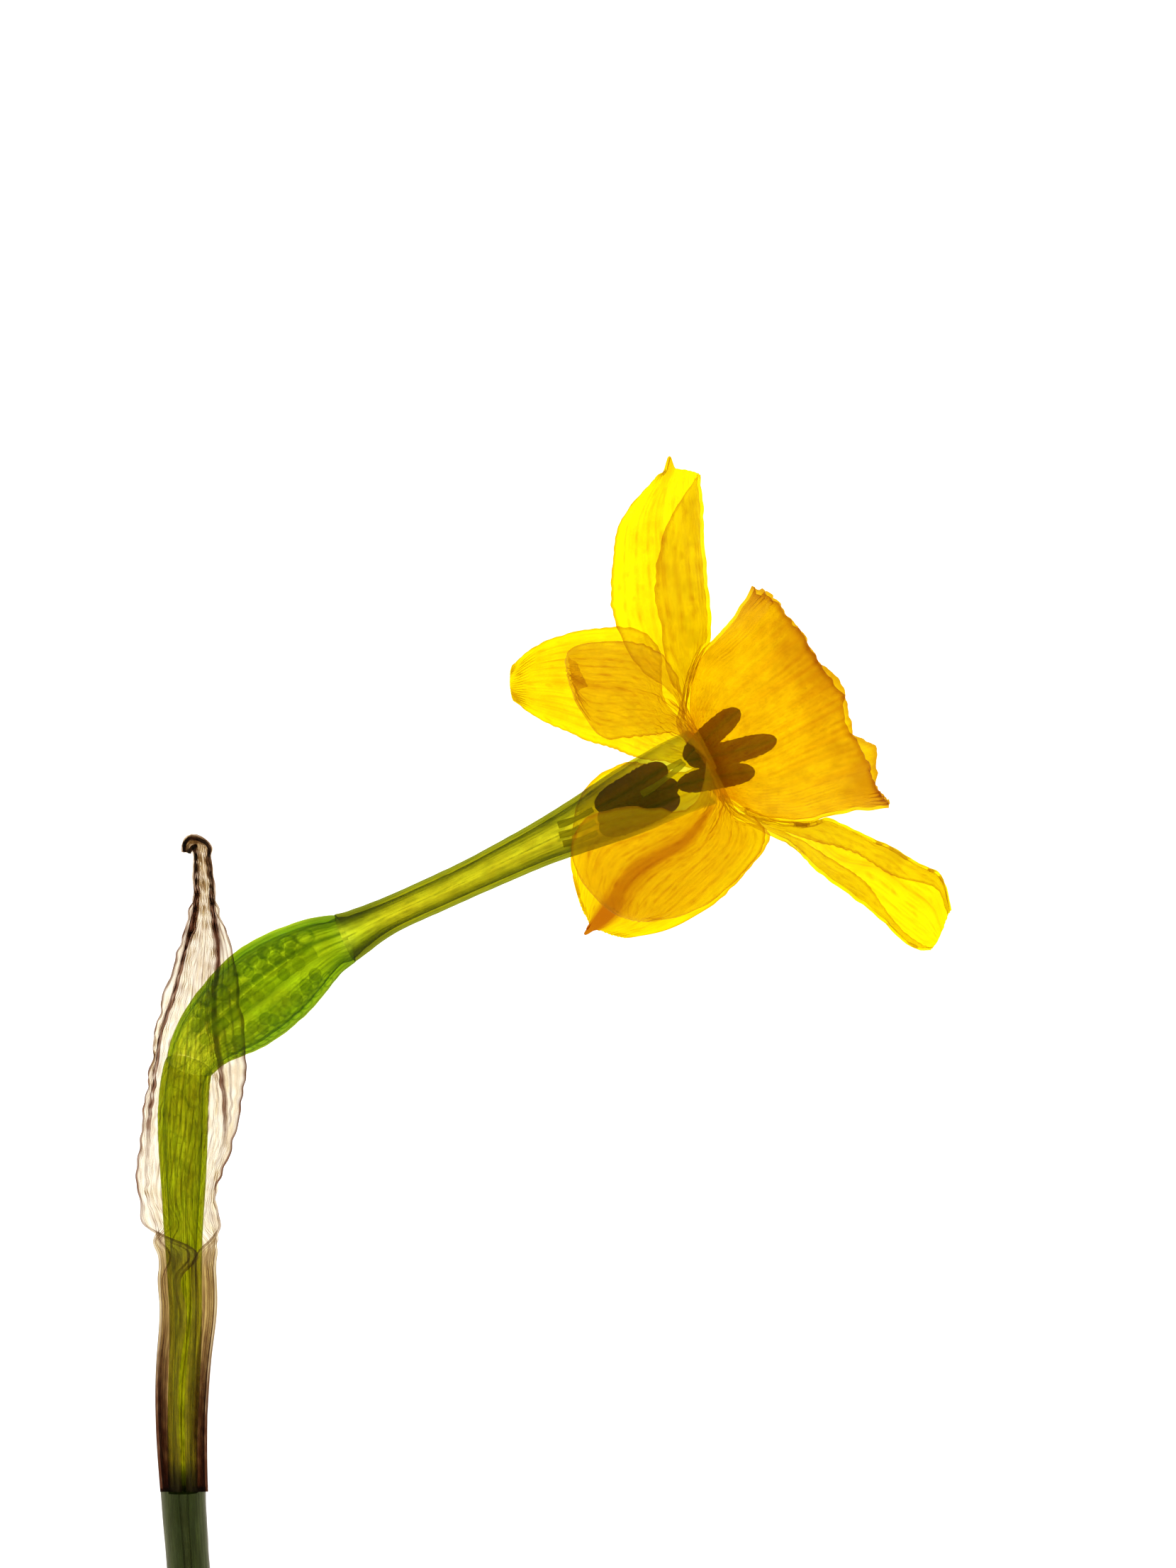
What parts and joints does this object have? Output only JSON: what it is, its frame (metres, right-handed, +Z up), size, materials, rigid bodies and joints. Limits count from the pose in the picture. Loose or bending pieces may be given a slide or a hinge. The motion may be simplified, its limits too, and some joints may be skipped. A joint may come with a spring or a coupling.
{
  "type": "daffodil flower",
  "caption": "Cut yellow daffodil flower of the jonquil type lying on its side: six swept-back tepals, a golden cup, a long slender tube, a green ovary, a papery spathe and a short cut stem.",
  "frame": {"origin": "middle of the bounding box's base, on the surface the flower lies on", "axes": "+Y along the stem from its cut end towards the flower, +X to the side the flower nods to, +Z up from the surface"},
  "size_m": [0.0646, 0.1176, 0.0282],
  "materials": {
    "tepal": "satin, translucent bright yellow petal tissue",
    "corona": "satin, translucent golden orange petal tissue, darker at the rim",
    "tube": "waxy yellow-green plant tissue",
    "ovary": "waxy green plant tissue",
    "ovules": "moist pale green ovules",
    "pedicel": "waxy yellow-green stalk with lengthwise lines",
    "scape": "waxy dark green stem",
    "spathe": "dry papery bract with brown veins",
    "anther": "powdery brown-orange pollen",
    "filament": "waxy yellow-green thread"
  },
  "bodies": {
    "root": {"scape": "scape", "pedicel": "pedicel", "spathe": "spathe", "ovary": "ovary", "placenta": "ovules", "floral_tube": "tube", "corona": "corona", "tepal_outer_1": "tepal", "tepal_inner_1": "tepal", "tepal_outer_2": "tepal", "tepal_inner_2": "tepal", "tepal_outer_3": "tepal", "tepal_inner_3": "tepal", "anther_upper_1": "anther", "anther_upper_2": "anther", "anther_upper_3": "anther", "anther_lower_1": "anther", "anther_lower_2": "anther", "anther_lower_3": "anther", "filament_upper_1": "filament", "filament_upper_2": "filament", "filament_upper_3": "filament", "filament_lower_1": "filament", "filament_lower_2": "filament", "filament_lower_3": "filament", "style": "filament"}
  },
  "joints": []
}
